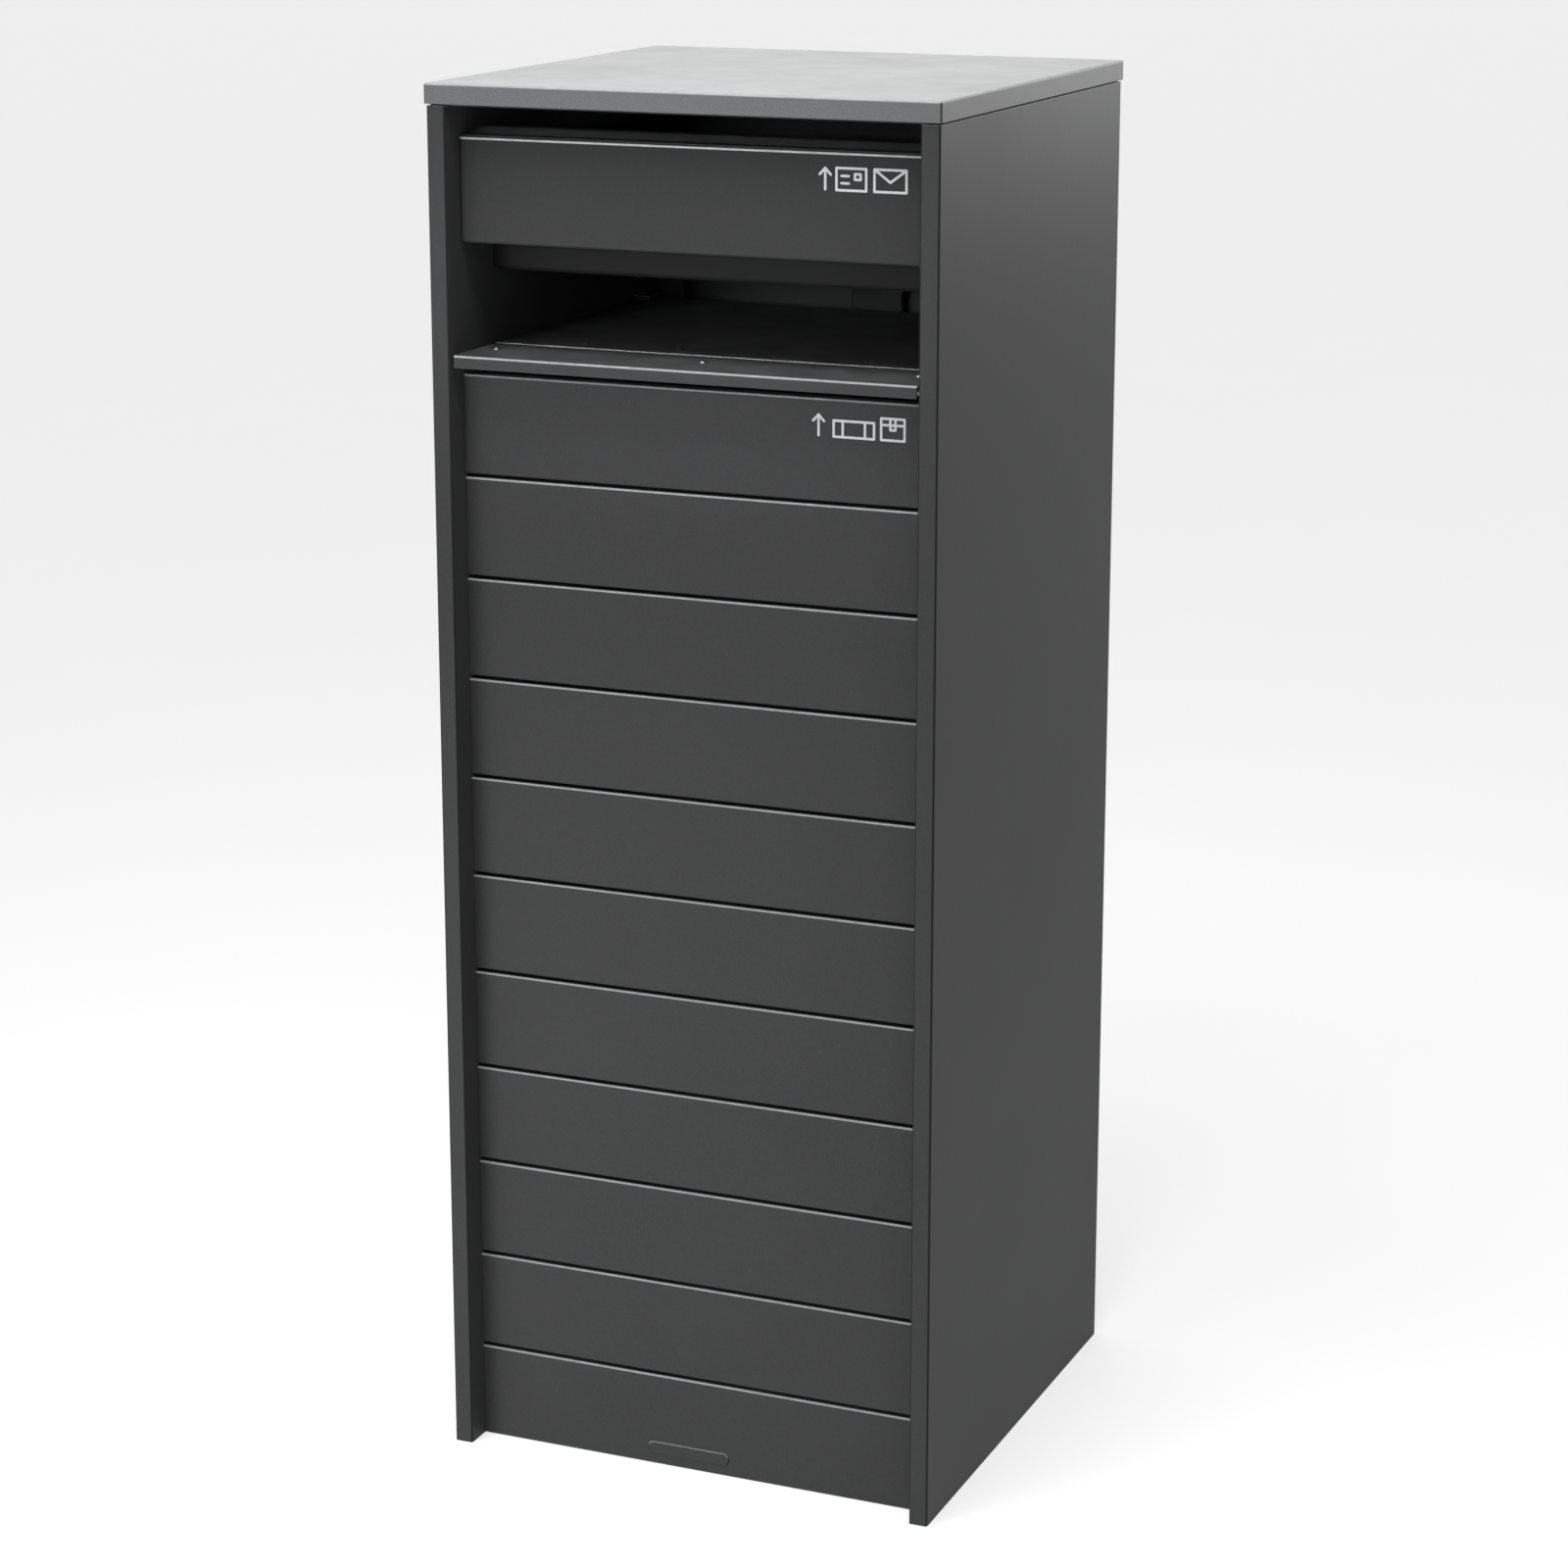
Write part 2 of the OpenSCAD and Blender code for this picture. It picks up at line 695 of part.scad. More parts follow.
module flap_stop_pads() {
    color(black_rubber) on_both_sides()
        translate([wall_in - stop_reach, flap_back - stop_len, flap_top + move_gap])
            cube([stop_reach - bend_r, stop_len, pad_t]);
}

// Angles on the side walls that the flap's edges meet at the end of its swing
module flap_lower_stops() {
    edge_z = flap_top - flap_flange - hinge_z;
    color(dark_steel) on_both_sides() translate([wall_in, hinge_y, hinge_z]) rotate([-flap_swing, 0, 0])
        translate([0, lower_stop_reach, edge_z - move_gap]) rotate([90, 0, 0])
            linear_extrude(stop_len) rotate(180) angle_2d(stop_reach, stop_reach);
}

// ---- Back frame and door ----

module rear_rail(z, h) {
    translate([0, door_face, z + h / 2]) facing_back() pan(inner_w, h, door_depth);
}

module rear_top_rail() { color(charcoal) rear_rail(panel_top - top_rail_h, top_rail_h); }

module rear_bottom_rail() { color(charcoal) rear_rail(0, bottom_rail_h); }

// Flat bar behind the door's lock edge: the door closes on it and the cam hooks behind it
module door_stop() {
    color(dark_steel) translate([wall_in - stop_w, stop_y, bottom_rail_h])
        cube([stop_w, stop_t, door_top - bottom_rail_h]);
}

// Flat bar behind the door's hinge edge, which closes the gap there to view and to fingers
module hinge_guard() {
    guard_y = door_axis.y - door_leaf_len - move_gap - stop_t;
    color(dark_steel) translate([-wall_in, guard_y, bottom_rail_h])
        cube([stop_w, stop_t, door_top - bottom_rail_h]);
}

module door_seal() {
    seal_w = 8;
    seal_end = 4;
    color(black_rubber) translate([door_right - seal_w, stop_y + stop_t, door_bottom + seal_end])
        cube([seal_w, seal_t, door_h - 2 * seal_end]);
}

module rear_door() {
    color(charcoal) difference() {
        translate([door_mid, door_face, door_mid_z]) facing_back() pan(door_w, door_h, door_depth);
        translate([lock_x, door_face - sheet - cut, lock_z]) rotate([-90, 0, 0])
            cylinder(r = lock_r, h = sheet + 2 * cut);
        hinge_rivet_holes(door_left - cut, sheet + 2 * cut);
    }
}

module door_stiffener() {
    color(dark_steel) translate([door_mid, door_face - sheet - stiffener_d, door_bottom + stiffener_end])
        linear_extrude(door_h - 2 * stiffener_end) channel_2d(stiffener_w, stiffener_d);
}

// Leaf of one door hinge: its pin stands along Z at the origin and its plate runs towards -Y
module door_leaf(moving) {
    part = door_hinge_len / 3;
    clear = door_knuckle_r + leaf_step;
    bore = door_pin_r + (moving ? pin_fit : 0);
    side = moving ? 1 : -1;
    plate_x = moving ? door_knuckle_r - sheet : -door_knuckle_r;
    difference() {
        union() {
            translate([plate_x, -door_leaf_len, -door_hinge_len / 2])
                cube([sheet, door_leaf_len - clear, door_hinge_len]);
            for (k = moving ? [0] : [-1, 1]) translate([0, 0, k * part]) {
                cylinder(r = door_knuckle_r, h = part - knuckle_gap, center = true);
                translate([plate_x, -clear - eps, -(part - knuckle_gap) / 2])
                    cube([sheet, clear + eps, part - knuckle_gap]);
            }
        }
        cylinder(r = bore, h = door_hinge_len + 2 * cut, center = true);
    }
}

module at_door_hinges() {
    for (z = door_hinge_zs) translate([door_axis.x, door_axis.y, z]) children();
}

module door_hinge_leaves_fixed() {
    color(dark_steel) difference() {
        at_door_hinges() door_leaf(false);
        hinge_rivet_holes(-wall_in - cut, sheet + 2 * cut);
    }
}

module door_hinge_leaves_moving() {
    color(dark_steel) difference() {
        at_door_hinges() door_leaf(true);
        hinge_rivet_holes(door_left - sheet - cut, sheet + 2 * cut);
    }
}

module door_hinge_pins() {
    color(zinc) at_door_hinges() cylinder(r = door_pin_r, h = door_hinge_len, center = true);
}

module at_hinge_rivets(x) {
    for (z = door_hinge_zs, dz = [-1, 1]) translate([x, hinge_rivet_y, z + dz * hinge_rivet_dz]) children();
}

module hinge_rivets_fixed() {
    color(zinc) at_hinge_rivets(-wall_in + sheet) rotate([0, 90, 0]) rivet(hinge_rivet_r, 2 * sheet);
}

module hinge_rivets_moving() {
    color(zinc) at_hinge_rivets(door_left - sheet) rotate([0, -90, 0]) rivet(hinge_rivet_r, 2 * sheet);
}

// ---- Cam lock, drawn along Y at the lock's axis ----

// Bar along Y from y0 to y1
module lock_bar(r, y0, y1) {
    translate([lock_x, y0, lock_z]) rotate([-90, 0, 0]) cylinder(r = r, h = y1 - y0);
}

module lock_body() {
    color(zinc) difference() {
        union() {
            lock_bar(lock_r, barrel_end, door_face + eps);
            lock_bar(lock_r + bezel_lip, door_face, door_face + bezel_t);
        }
        lock_bar(plug_r + pin_fit, barrel_end - cut, door_face + bezel_t + cut);
    }
}

module lock_nut() {
    nut_wall = 3;
    lock_nut_h = 4;
    color(zinc) translate([lock_x, door_face - sheet, lock_z]) rotate([90, 0, 0])
        hex_nut(lock_r, 2 * (lock_r + nut_wall), lock_nut_h);
}

module lock_plug() {
    key_w = 1.8;
    key_h = 7.5;
    key_depth = 14;
    plug_face = door_face + bezel_t - 0.5;
    color(zinc) difference() {
        union() {
            lock_bar(plug_r, cam_y + cam_t, plug_face);
            translate([lock_x - tail / 2, cam_y, lock_z - tail / 2]) cube([tail, cam_t + eps, tail]);
        }
        translate([lock_x - key_w / 2, plug_face - key_depth, lock_z - key_h / 2])
            cube([key_w, key_depth + cut, key_h]);
        lock_bar(cam_screw_r, cam_y - cut, cam_y + cam_screw_len + cut);
    }
}

module lock_cam() {
    arm_w = 16;
    color(zinc) difference() {
        union() {
            lock_bar(arm_w / 2, cam_y, cam_y + cam_t);
            translate([lock_x - arm_w / 2, cam_y, lock_z - cam_len]) cube([arm_w, cam_t, cam_len]);
        }
        translate([lock_x - tail / 2, cam_y - cut, lock_z - tail / 2]) cube([tail, cam_t + 2 * cut, tail]);
    }
}

module lock_cam_screw() {
    color(zinc) translate([lock_x, cam_y, lock_z]) rotate([90, 0, 0]) {
        cylinder(r = 5, h = washer_t);
        translate([0, 0, washer_t]) dome(3.5, 2);
        translate([0, 0, -cam_screw_len]) cylinder(r = cam_screw_r, h = cam_screw_len + eps);
    }
}

top_cap();
cap_nuts();
top_frame();
side_panel_left();
side_panel_right();
base_plate();
front_liner();
for (i = [1:slat_count])
    slat(i);
slat_nuts();
letters_panel();
letter_chute();
letter_tray();
tray_screws();
ledge_rail();
parcel_ledge();
ledge_screws();
ledge_nuts();
flap_hinge_leaf_fixed();
flap_hinge_leaf_moving();
flap_hinge_pin();
flap_springs();
drop_flap();
flap_rivets();
flap_stops();
flap_stop_pads();
flap_lower_stops();
rear_top_rail();
rear_bottom_rail();
door_stop();
hinge_guard();
door_seal();
rear_door();
door_stiffener();
door_hinge_leaves_fixed();
door_hinge_leaves_moving();
door_hinge_pins();
hinge_rivets_fixed();
hinge_rivets_moving();
lock_body();
lock_nut();
lock_plug();
lock_cam();
lock_cam_screw();
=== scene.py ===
"""Looks of a freestanding parcel drop box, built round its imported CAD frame.

The frame holds every sheet-metal part at its real size. This script adds the finishes, the printed
pictograms, the wound springs, the plain badge, the studio and the camera. Lengths are in metres.
"""

import json
import math

import bmesh
import bpy
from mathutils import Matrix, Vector


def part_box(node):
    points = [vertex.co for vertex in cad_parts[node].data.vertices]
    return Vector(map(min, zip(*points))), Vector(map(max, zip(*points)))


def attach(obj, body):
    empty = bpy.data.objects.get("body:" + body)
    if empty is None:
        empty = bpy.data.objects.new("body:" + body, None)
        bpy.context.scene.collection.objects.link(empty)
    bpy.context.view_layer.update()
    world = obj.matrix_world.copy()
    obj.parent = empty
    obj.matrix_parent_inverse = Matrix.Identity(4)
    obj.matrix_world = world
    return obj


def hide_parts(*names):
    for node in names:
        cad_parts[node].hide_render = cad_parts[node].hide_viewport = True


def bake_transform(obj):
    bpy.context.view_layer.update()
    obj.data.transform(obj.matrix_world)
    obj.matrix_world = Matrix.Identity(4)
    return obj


# ---- Camera ----
CAMERA_PLACE = (1.283, -3.040, 1.460)
CAMERA_AZIMUTH = 22.91
CAMERA_ELEVATION = 14.15
CAMERA_LENS = 88.4
CAMERA_SENSOR = 36
CAMERA_SHIFT = -0.0375

# ---- Studio ----
FLOOR_SIZE = 80.0
FLOOR_GLOW = 0.50
SKY_HORIZON = 0.95
SKY_ZENITH = 0.35
SKY_ZENITH_HEIGHT = 0.6
SOFTBOXES = {
    "top": dict(azimuth=-10, elevation=70, distance=2.6, size=(2.4, 1.8), watts=13),
    "top_front": dict(
        azimuth=0, elevation=66, distance=0.9, size=(0.9, 0.3), watts=2.9,
        target=(0, -0.23, 1.17), spread=100,
    ),
    "front_high": dict(
        azimuth=-32, elevation=22, distance=1.8, size=(1.0, 0.7), watts=0.55,
        target=(0, -0.2, 0.95), spread=80,
    ),
    "front_low": dict(
        azimuth=-30, elevation=3, distance=1.4, size=(0.9, 0.4), watts=2.9,
        target=(0, -0.2, 0.16), spread=90,
    ),
    "mouth": dict(
        azimuth=-8, elevation=9, distance=1.6, size=(0.5, 0.2), watts=0.22,
        target=(0, 0.12, 0.98), spread=18,
    ),
    "rear_right": dict(
        azimuth=145, elevation=16, distance=0.9, size=(0.5, 0.4), watts=1.9,
        target=(0.22, 0.36, 1.00), spread=90,
    ),
    "roof": dict(
        azimuth=203, elevation=18, distance=1.3, size=(1.4, 0.6), watts=1.6,
        target=(0, 0, 1.2), spread=70,
    ),
}

# ---- Colours, linear ----
CHARCOAL = (0.036, 0.0365, 0.0375)
# Cap: paler worn paint, made lighter still as painted light from the lamps above.
CHARCOAL_CAP_WORN_AND_LIT = (0.112, 0.113, 0.115)
CHARCOAL_INSIDE = (0.026, 0.0265, 0.0275)
# Letters panel: the coat darkened as painted shade under the cap.
CHARCOAL_PANEL_PAINTED_SHADE = (0.027, 0.0274, 0.028)
# Letter tray: the coat darkened almost to black as painted shade inside the box.
CHARCOAL_TRAY_PAINTED_SHADE = (0.012, 0.0122, 0.0126)
# Pale grey of the dust on flat tops, and also of the painted highlights on upward bends.
DUST_AND_HIGHLIGHT = (0.40, 0.405, 0.41)
# Pale colour of the strong painted highlights on the letters panel's and drop flap's bends.
HIGHLIGHT_PALE = (0.78, 0.78, 0.79)
ZINC = (0.52, 0.53, 0.55)
SPRING_STEEL = (0.33, 0.33, 0.34)
CHROME = (0.62, 0.62, 0.63)
BLACK_OXIDE = (0.20, 0.20, 0.205)
RUBBER = (0.012, 0.012, 0.012)
PRINT = (0.47, 0.48, 0.49)
FLOOR = (0.80, 0.80, 0.80)
WHITE = (1.0, 1.0, 1.0)

# ---- Finishes in general ----
NOISE_LOW = 0.3
NOISE_HIGH = 0.7

# ---- Powder coat: noise scales are per metre, depths in metres ----
COAT_IOR = 1.14
COAT_ROUGHNESS_SPREAD = 0.035
EDGE_R = 0.0012
EDGE_SAMPLES = 6
GRAIN_SCALE = 950
GRAIN_DEPTH = 0.000028
WAVE_SCALE = 140
WAVE_DEPTH = 0.00007
FLECK_SCALE = 2100
CLOUD_SCALE = 5
RUB_SCALE = 60
DUST_SCALE = 28
# Scale of the painted highlights' unevenness along the bends.
HIGHLIGHT_NOISE_SCALE = 90

# ---- Other finishes ----
BRUSH_SCALE = 1400
PATCH_SCALE = 160
INK_SCALE = 1300
RUBBER_SCALE = 1600
BLOOM_SCALE = 45
FLOOR_SCALE = 3
SHALLOW = 0.00001

# ---- Printed pictograms ----
STROKE = 0.0020
PRINT_LIFT = 0.00012
LIFT_STEP = 0.05
MARK_H = 0.0175
MARK_EDGE = 0.0207
LETTERS_DROP = 0.0120
PARCELS_DROP = 0.0130
END_STEPS = 8

# ---- Badge ----
BADGE_W = 0.078
BADGE_H = 0.012
BADGE_T = 0.0008
# Width of the soft edge, as a share of the thickness.
BADGE_SOFTNESS = 0.6
BADGE_SEGMENTS = 3
BADGE_X = -0.008
BADGE_Z = 0.0155

# ---- Torsion springs ----
HINGE_KNUCKLES = 9
# Knuckles from the hinge's middle to each spring's middle.
SPRING_PLACE = 2
SPRING_TURNS = 22
SPRING_WIRE_R = 0.0009
TURN_STEPS = 24
LEG_STEPS = 6
WIRE_SIDES = 10


# ---- Node trees ----


def tree_of(name):
    """A new material with one Principled shader: returns the material and its shader."""
    material = bpy.data.materials.new(name)
    material.use_nodes = True
    shader = material.node_tree.nodes["Principled BSDF"]
    return material, shader


def add(owner, kind, inputs=None, **settings):
    """Adds a node to the tree of owner, a node; inputs are values or other nodes' sockets."""
    tree = owner.id_data
    made = tree.nodes.new("ShaderNode" + kind)
    for key, value in settings.items():
        setattr(made, key, value)
    for key, value in (inputs or {}).items():
        connect(made, key, value)
    return made


def connect(made, key, value):
    """Links a socket to a node's input, or sets the input where the value is a constant."""
    if isinstance(value, bpy.types.NodeSocket):
        made.id_data.links.new(value, made.inputs[key])
    else:
        made.inputs[key].default_value = value


def place_of(shader, stretch=(1, 1, 1)):
    """Place on the piece in metres, each axis multiplied by its stretch."""
    place = add(shader, "TexCoord").outputs["Object"]
    return add(shader, "Mapping", {"Vector": place, "Scale": stretch}).outputs[0]


def noise(shader, scale, detail=2.0, rough=0.5, stretch=(1, 1, 1)):
    """Soft noise; a higher scale is finer, and more detail adds finer layers."""
    inputs = {
        "Vector": place_of(shader, stretch),
        "Scale": scale,
        "Detail": detail,
        "Roughness": rough,
    }
    return add(shader, "TexNoise", inputs).outputs["Fac"]


def remap(shader, value, low, high, to_low=0.0, to_high=1.0):
    """Turns low to high into to_low to to_high, and clamps the result."""
    inputs = {
        "Value": value,
        "From Min": low,
        "From Max": high,
        "To Min": to_low,
        "To Max": to_high,
    }
    return add(shader, "MapRange", inputs).outputs[0]


def spread(shader, value, to_low=0.0, to_high=1.0):
    """Stretches the middle of a noise's range, where most of its values lie."""
    return remap(shader, value, NOISE_LOW, NOISE_HIGH, to_low, to_high)


def math_of(shader, operation, *values):
    """One operation on one or two values."""
    return add(shader, "Math", dict(enumerate(values)), operation=operation).outputs[0]


def mix(shader, factor, a, b):
    """Colour a where the factor is 0, colour b where it is 1."""
    return add(shader, "Mix", {0: factor, 6: a, 7: b}, data_type="RGBA").outputs[2]


def shade(colour, amount=1.0):
    """A colour made lighter or darker, with the alpha that a colour socket takes."""
    return tuple(c * amount for c in colour) + (1.0,)


def rounded_normal(shader):
    """The surface's normal, turned smoothly round every folded or cut edge."""
    return add(shader, "Bevel", {"Radius": EDGE_R}, samples=EDGE_SAMPLES).outputs[0]


def edge_mask(shader, rounded):
    """0 on flat faces, rising to 1 on the edges."""
    plain = add(shader, "NewGeometry").outputs["Normal"]
    dot = add(shader, "VectorMath", {0: rounded, 1: plain}, operation="DOT_PRODUCT")
    return remap(shader, dot.outputs["Value"], 0.995, 0.90)


def upward_mask(shader, normal, start, full):
    """0 on walls, rising to 1 where the surface looks up."""
    z = add(shader, "SeparateXYZ", {0: normal}).outputs["Z"]
    return remap(shader, z, start, full)


def corner_mask(shader, normal):
    """1 in the middle of a bend that turns from a front or rear face to a side face."""
    parts = add(shader, "SeparateXYZ", {0: normal}).outputs
    turn = math_of(shader, "MULTIPLY", parts["X"], parts["Y"])
    return remap(shader, math_of(shader, "ABSOLUTE", turn), 0.20, 0.42)


def bend_mask(shader, normal):
    """1 on the outside of a bend that turns from a wall to an upward face."""
    rising = upward_mask(shader, normal, 0.12, 0.40)
    flat = upward_mask(shader, normal, 0.93, 0.985)
    return math_of(shader, "MULTIPLY", rising, math_of(shader, "SUBTRACT", 1.0, flat))


def relief(shader, height, depth, under=None):
    """Bumps of that depth, on top of the normal under them."""
    inputs = {"Height": height, "Distance": depth, "Strength": 1.0}
    if under is not None:
        inputs["Normal"] = under
    return add(shader, "Bump", inputs).outputs[0]


# ---- Finishes ----


def speckled(shader, colour, grain, cloud):
    """The coat's own colour: fine grain, soft clouds and pale flecks."""
    flecks = remap(shader, noise(shader, FLECK_SCALE, 1.0), 0.60, 0.74)
    tone = mix(shader, spread(shader, grain), shade(colour, 0.86), shade(colour, 1.14))
    tone = mix(shader, spread(shader, cloud, 0.0, 0.30), tone, shade(colour, 1.25))
    return mix(shader, math_of(shader, "MULTIPLY", flecks, 0.30), tone, shade(colour, 2.2))


def rubbed_edges_and_shaded_bends(shader, tone, colour, rounded):
    """Edges rubbed paler in places, and painted shade down the vertical bends."""
    patches = remap(shader, noise(shader, RUB_SCALE), 0.35, 0.65, 0.0, 0.28)
    edges = math_of(shader, "MULTIPLY", edge_mask(shader, rounded), patches)
    tone = mix(shader, edges, tone, shade(colour, 2.6))
    # Painted shade: the vertical bends darkened in the colour.
    painted_shade_bends = math_of(shader, "MULTIPLY", corner_mask(shader, rounded), 0.8)
    return mix(shader, painted_shade_bends, tone, shade(colour, 0.25))


def dust_and_painted_highlight(shader, tone, rounded, dust, highlight_strength, highlight_colour):
    """A film of dust on flat tops, and a painted highlight, uneven along its length, on outer bends that
    turn up from a wall.
    """
    film = remap(shader, noise(shader, DUST_SCALE, 4.0), 0.3, 0.75, dust * 0.2, dust)
    lying = math_of(shader, "MULTIPLY", upward_mask(shader, rounded, 0.7, 0.95), film)
    tone = mix(shader, lying, tone, shade(DUST_AND_HIGHLIGHT))
    # Painted highlight: bends that turn up to a flat top lightened towards the highlight colour.
    highlight_noise = spread(shader, noise(shader, HIGHLIGHT_NOISE_SCALE, 2.0), highlight_strength * 0.75, highlight_strength)
    painted_highlight_bends = math_of(shader, "MULTIPLY", bend_mask(shader, rounded), highlight_noise)
    return mix(shader, painted_highlight_bends, tone, shade(highlight_colour))


def powder_coat(name, colour, roughness=0.44, dust=0.10, highlight_strength=0.75, highlight_colour=DUST_AND_HIGHLIGHT):
    """Fine-textured polyester powder on sheet steel, with painted shade down its vertical bends and painted
    highlights on its upward bends.
    """
    material, shader = tree_of(name)
    rounded = rounded_normal(shader)
    grain = noise(shader, GRAIN_SCALE, 2.0)
    cloud = noise(shader, CLOUD_SCALE, 3.0, 0.55)
    tone = speckled(shader, colour, grain, cloud)
    tone = rubbed_edges_and_shaded_bends(shader, tone, colour, rounded)
    tone = dust_and_painted_highlight(shader, tone, rounded, dust, highlight_strength, highlight_colour)
    uneven = math_of(shader, "ADD", cloud, grain)
    smooth = roughness - COAT_ROUGHNESS_SPREAD
    dull = roughness + COAT_ROUGHNESS_SPREAD
    connect(shader, "Base Color", tone)
    connect(shader, "Roughness", remap(shader, uneven, 0.7, 1.3, smooth, dull))
    connect(shader, "IOR", COAT_IOR)
    waves = relief(shader, noise(shader, WAVE_SCALE, 1.0), WAVE_DEPTH, under=rounded)
    connect(shader, "Normal", relief(shader, grain, GRAIN_DEPTH, under=waves))
    return material


def plated(name, colour, roughness, streak=(1, 1, 1)):
    """Bright plated steel: fine brushed streaks and dull patches."""
    material, shader = tree_of(name)
    fine = noise(shader, BRUSH_SCALE, 2.0, stretch=streak)
    patch = noise(shader, PATCH_SCALE, 3.0)
    uneven = math_of(shader, "ADD", fine, patch)
    tone = mix(shader, patch, shade(colour, 0.78), shade(colour, 1.12))
    tone = mix(shader, remap(shader, fine, 0.35, 0.65, 0.0, 0.25), tone, shade(colour, 0.7))
    connect(shader, "Base Color", tone)
    connect(shader, "Metallic", 1.0)
    connect(shader, "Roughness", remap(shader, uneven, 0.7, 1.3, roughness - 0.06, roughness + 0.10))
    connect(shader, "Normal", relief(shader, fine, SHALLOW))
    return material


def rubber(name):
    """Matt black rubber with a faint grey bloom."""
    material, shader = tree_of(name)
    grain = noise(shader, RUBBER_SCALE, 2.0)
    bloom = spread(shader, noise(shader, BLOOM_SCALE, 3.0))
    connect(shader, "Base Color", mix(shader, bloom, shade(RUBBER, 0.8), shade(RUBBER, 1.9)))
    connect(shader, "Roughness", spread(shader, grain, 0.72, 0.88))
    connect(shader, "Normal", relief(shader, grain, 2 * SHALLOW))
    return material


def screen_print(name):
    """Pale silver ink, a little thin and uneven."""
    material, shader = tree_of(name)
    thin = noise(shader, INK_SCALE, 3.0, 0.6)
    tone = mix(shader, remap(shader, thin, 0.35, 0.7), shade(PRINT, 1.05), shade(PRINT, 0.82))
    connect(shader, "Base Color", tone)
    connect(shader, "Roughness", spread(shader, thin, 0.5, 0.62))
    connect(shader, "Normal", relief(shader, thin, SHALLOW))
    return material


def studio_floor(name):
    """Matt white floor that glows a little, so that its far end stays pale."""
    material, shader = tree_of(name)
    tone = mix(shader, noise(shader, FLOOR_SCALE, 3.0), shade(FLOOR, 0.985), shade(FLOOR, 1.015))
    connect(shader, "Base Color", tone)
    connect(shader, "Roughness", 0.75)
    connect(shader, "Emission Color", shade(WHITE))
    connect(shader, "Emission Strength", FLOOR_GLOW)
    return material


# ---- Mesh pieces ----


def finish_piece(name, mesh_data, material, body="cabinet", smooth=False):
    """Turns a bmesh into an object with a material, riding on a body where one is named."""
    mesh = bpy.data.meshes.new(name)
    mesh_data.to_mesh(mesh)
    mesh_data.free()
    mesh.materials.append(material)
    if smooth:
        mesh.shade_smooth()
    piece = bpy.data.objects.new(name, mesh)
    bpy.context.scene.collection.objects.link(piece)
    if body:
        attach(piece, body)
    return piece


def capsule(start, end, radius):
    """Outline of a bar from start to end, with half-round ends."""
    a, b = Vector(start), Vector(end)
    turn = math.atan2(b.y - a.y, b.x - a.x)
    points = []
    for centre, first in ((b, turn - math.pi / 2), (a, turn + math.pi / 2)):
        for k in range(END_STEPS + 1):
            angle = first + math.pi * k / END_STEPS
            points.append((centre.x + radius * math.cos(angle), centre.y + radius * math.sin(angle)))
    return points


def outline_prism(mesh, points, lift, face_y):
    """Closed flat solid with an outline in (X, Z), standing out from the face at face_y towards -Y."""
    front = [mesh.verts.new((x, face_y - lift, z)) for x, z in points]
    back = [mesh.verts.new((x, face_y, z)) for x, z in points]
    mesh.faces.new(front)
    mesh.faces.new(back[::-1])
    count = len(points)
    for k in range(count):
        after = (k + 1) % count
        mesh.faces.new((front[k], back[k], back[after], front[after]))


def pictogram(name, lines, right, top, face_y, material):
    """Strokes with round ends, placed from the mark's top right corner in units of its height.

    Each stroke stands out a little more than the last, so that crossing strokes do not flicker.
    """
    mesh = bmesh.new()
    count = 0
    for line in lines:
        for start, end in zip(line, line[1:]):
            lift = PRINT_LIFT * (1 + LIFT_STEP * count)
            places = [(right + MARK_H * x, top + MARK_H * z) for x, z in (start, end)]
            outline_prism(mesh, capsule(*places, STROKE / 2), lift, face_y)
            count += 1
    bmesh.ops.recalc_face_normals(mesh, faces=mesh.faces)
    return finish_piece(name, mesh, material)


def slot_arrow(x):
    """A small arrow that points into the opening, centred at x."""
    return [[(x, -0.02), (x, -0.98)], [(x - 0.27, -0.31), (x, -0.02), (x + 0.27, -0.31)]]


def frame_of(left, bottom, right=0.0, top=0.0):
    """A closed rectangle as one line of points."""
    return [(left, top), (right, top), (right, bottom), (left, bottom), (left, top)]


ENVELOPE = [
    frame_of(-1.55, -1.0),
    [(-1.55, 0.0), (-0.775, -0.56), (0.0, 0.0)],
]
POSTCARD = [
    frame_of(-3.40, -1.0, right=-1.95),
    frame_of(-2.50, -0.50, right=-2.22, top=-0.25),
    [(-3.15, -0.35), (-2.80, -0.35)],
    [(-3.15, -0.68), (-2.80, -0.68)],
]
CARTON = [
    frame_of(-1.15, -1.0),
    [(-1.15, -0.30), (0.0, -0.30)],
    [(-0.70, 0.0), (-0.70, -0.52), (-0.45, -0.52), (-0.45, 0.0)],
]
LONG_CARTON = [
    frame_of(-3.50, -1.0, right=-1.50, top=-0.25),
    [(-3.05, -0.25), (-3.05, -1.0)],
    [(-1.95, -0.25), (-1.95, -1.0)],
]


def pictograms(ink):
    """The letters' mark on the panel under the slot, the parcels' mark on the top slat."""
    panel_low, panel_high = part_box("letters_panel")
    slat_low, slat_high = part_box("slat_01")
    right = panel_high.x - MARK_EDGE
    letters = ENVELOPE + POSTCARD + slot_arrow(-3.95)
    parcels = CARTON + LONG_CARTON + slot_arrow(-4.25)
    pictogram("letters_mark", letters, right, panel_high.z - LETTERS_DROP, panel_low.y, ink)
    pictogram("parcels_mark", parcels, right, slat_high.z - PARCELS_DROP, slat_low.y, ink)


